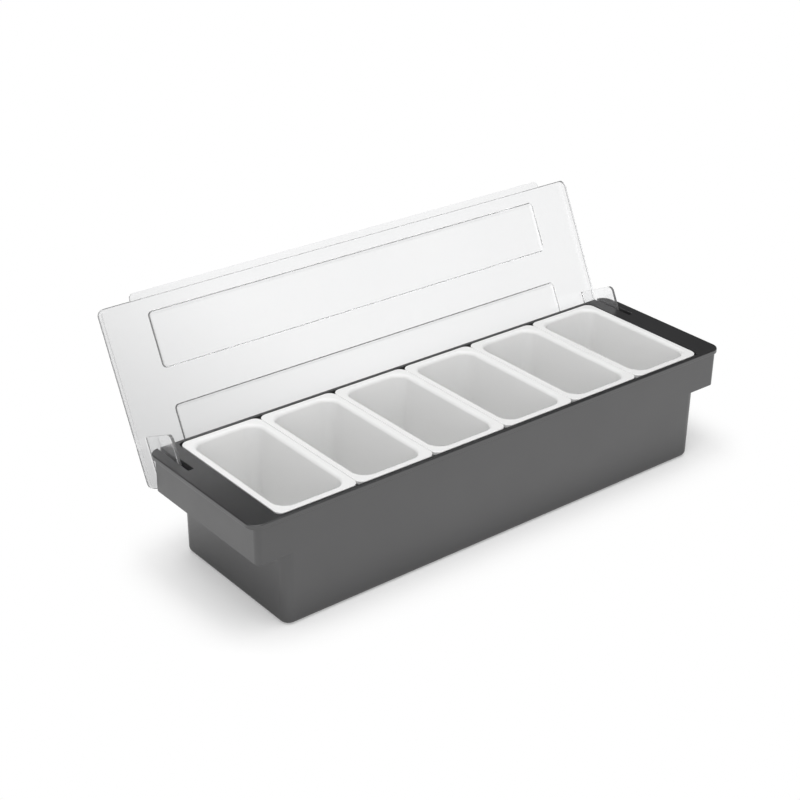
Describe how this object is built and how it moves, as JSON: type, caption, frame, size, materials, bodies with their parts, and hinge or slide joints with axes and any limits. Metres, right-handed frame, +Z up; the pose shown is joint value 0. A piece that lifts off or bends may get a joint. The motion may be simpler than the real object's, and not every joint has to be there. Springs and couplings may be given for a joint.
{
  "type": "bar garnish tray",
  "caption": "Long rimmed tray with boxed hand-hold flanges, a row of lift-out food inserts, and a clear lid whose ears swing in slots so that it tips back open.",
  "frame": {"origin": "centre of the tray's flat base, at the level that it stands on", "axes": "+X along the row of inserts to the right end, +Y to the back where the lid is hinged, +Z up"},
  "size_m": [0.5, 0.215, 0.2002],
  "materials": {
    "dark_plastic": "fine satin moulded surface",
    "clear_plastic": "clear and glossy",
    "white_plastic": "smooth white with a soft gloss"
  },
  "bodies": {
    "tray": {"tray_body": "dark_plastic"},
    "lid": {"lid": "clear_plastic"},
    "insert_1": {"insert_1": "white_plastic"},
    "insert_2": {"insert_2": "white_plastic"},
    "insert_3": {"insert_3": "white_plastic"},
    "insert_4": {"insert_4": "white_plastic"},
    "insert_5": {"insert_5": "white_plastic"},
    "insert_6": {"insert_6": "white_plastic"}
  },
  "joints": [
    {"name": "lid_hinge", "type": "hinge", "parent": "tray", "child": "lid", "pos_m": [0, 0.06205, 0.0831], "axis": [-1, 0, 0], "range_deg": [-116.07, 0]},
    {"name": "insert_1_lift", "type": "slide", "parent": "tray", "child": "insert_1", "axis": [0, 0, 1], "range_m": [0, 0.1]},
    {"name": "insert_2_lift", "type": "slide", "parent": "tray", "child": "insert_2", "axis": [0, 0, 1], "range_m": [0, 0.1]},
    {"name": "insert_3_lift", "type": "slide", "parent": "tray", "child": "insert_3", "axis": [0, 0, 1], "range_m": [0, 0.1]},
    {"name": "insert_4_lift", "type": "slide", "parent": "tray", "child": "insert_4", "axis": [0, 0, 1], "range_m": [0, 0.1]},
    {"name": "insert_5_lift", "type": "slide", "parent": "tray", "child": "insert_5", "axis": [0, 0, 1], "range_m": [0, 0.1]},
    {"name": "insert_6_lift", "type": "slide", "parent": "tray", "child": "insert_6", "axis": [0, 0, 1], "range_m": [0, 0.1]}
  ]
}
